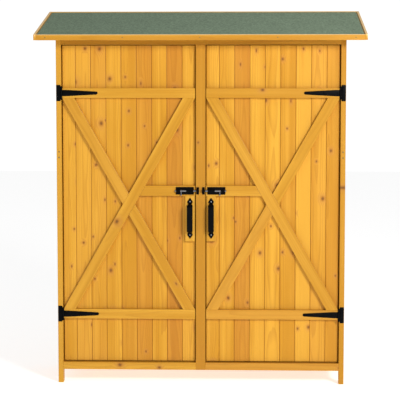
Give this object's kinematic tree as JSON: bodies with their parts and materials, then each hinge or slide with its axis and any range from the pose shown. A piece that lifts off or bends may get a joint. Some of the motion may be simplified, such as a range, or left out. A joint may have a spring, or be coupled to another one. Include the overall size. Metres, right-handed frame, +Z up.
{
  "type": "garden storage cabinet",
  "caption": "Timber garden store with ledged and braced doors, barrel bolts, inner shelves and a sloping felted roof.",
  "frame": {"origin": "on the ground, under the middle of the roof's outline", "axes": "+X to the right as seen from the front, +Y towards the back, +Z up"},
  "size_m": [1.42, 0.4966, 1.6435],
  "materials": {
    "frame_wood": "satin",
    "board_wood": "satin",
    "trim_wood": "satin",
    "inner_wood": "matte",
    "roofing_felt": "matte",
    "black_steel": "satin",
    "zinc": "satin"
  },
  "bodies": {
    "cabinet": {"front_left_post": "frame_wood", "front_right_post": "frame_wood", "rear_left_post": "frame_wood", "rear_right_post": "frame_wood", "header_rail": "frame_wood", "left_bottom_rail": "frame_wood", "right_bottom_rail": "frame_wood", "centre_post": "frame_wood", "door_stop_strips": "inner_wood", "rear_rails": "inner_wood", "left_side_rails": "inner_wood", "right_side_rails": "inner_wood", "floor_bearer": "inner_wood", "floor_boards": "inner_wood", "left_side_boards": "board_wood", "right_side_boards": "board_wood", "back_boards": "board_wood", "roof_deck_boards": "inner_wood", "roof_batten": "inner_wood", "front_fascia": "trim_wood", "rear_fascia": "trim_wood", "side_trims": "trim_wood", "roofing_felt": "roofing_felt", "roof_nails": "zinc", "divider_panel": "inner_wood", "shelves": "inner_wood", "shelf_cleats": "inner_wood", "hinge_leaves": "black_steel", "hinge_pins": "black_steel", "bolt_keepers": "black_steel", "frame_screws": "black_steel", "rail_screws": "zinc"},
    "left_door": {"left_door_boards": "board_wood", "left_door_top_ledge": "trim_wood", "left_door_middle_ledge": "trim_wood", "left_door_bottom_ledge": "trim_wood", "left_door_long_brace": "trim_wood", "left_door_short_braces": "trim_wood", "left_handle_block": "trim_wood", "left_handle": "black_steel", "left_hinge_straps": "black_steel", "left_bolt_plate": "black_steel", "left_door_screws": "black_steel", "left_handle_screws": "zinc"},
    "right_door": {"right_door_boards": "board_wood", "right_door_top_ledge": "trim_wood", "right_door_middle_ledge": "trim_wood", "right_door_bottom_ledge": "trim_wood", "right_door_long_brace": "trim_wood", "right_door_short_braces": "trim_wood", "right_handle_block": "trim_wood", "right_handle": "black_steel", "right_hinge_straps": "black_steel", "right_bolt_plate": "black_steel", "right_door_screws": "black_steel", "right_handle_screws": "zinc"},
    "left_bolt": {"left_bolt_rod": "zinc"},
    "left_lever": {"left_bolt_lever": "zinc"},
    "right_bolt": {"right_bolt_rod": "zinc"},
    "right_lever": {"right_bolt_lever": "zinc"}
  },
  "joints": [
    {"name": "left_door_swing", "type": "hinge", "parent": "cabinet", "child": "left_door", "pos_m": [-0.60325, -0.1615, 0.79], "axis": [0, 0, -1], "range_deg": [0, 180]},
    {"name": "right_door_swing", "type": "hinge", "parent": "cabinet", "child": "right_door", "pos_m": [0.60325, -0.1615, 0.79], "axis": [0, 0, 1], "range_deg": [0, 180]},
    {"name": "left_bolt_slide", "type": "slide", "parent": "left_door", "child": "left_bolt", "axis": [1, 0, 0], "range_m": [0, 0.018]},
    {"name": "left_lever_turn", "type": "hinge", "parent": "left_bolt", "child": "left_lever", "pos_m": [-0.085, -0.1645, 0.85], "axis": [-1, 0, 0], "range_deg": [0, 90]},
    {"name": "right_bolt_slide", "type": "slide", "parent": "right_door", "child": "right_bolt", "axis": [-1, 0, 0], "range_m": [0, 0.018]},
    {"name": "right_lever_turn", "type": "hinge", "parent": "right_bolt", "child": "right_lever", "pos_m": [0.085, -0.1645, 0.85], "axis": [-1, 0, 0], "range_deg": [0, 90]}
  ]
}
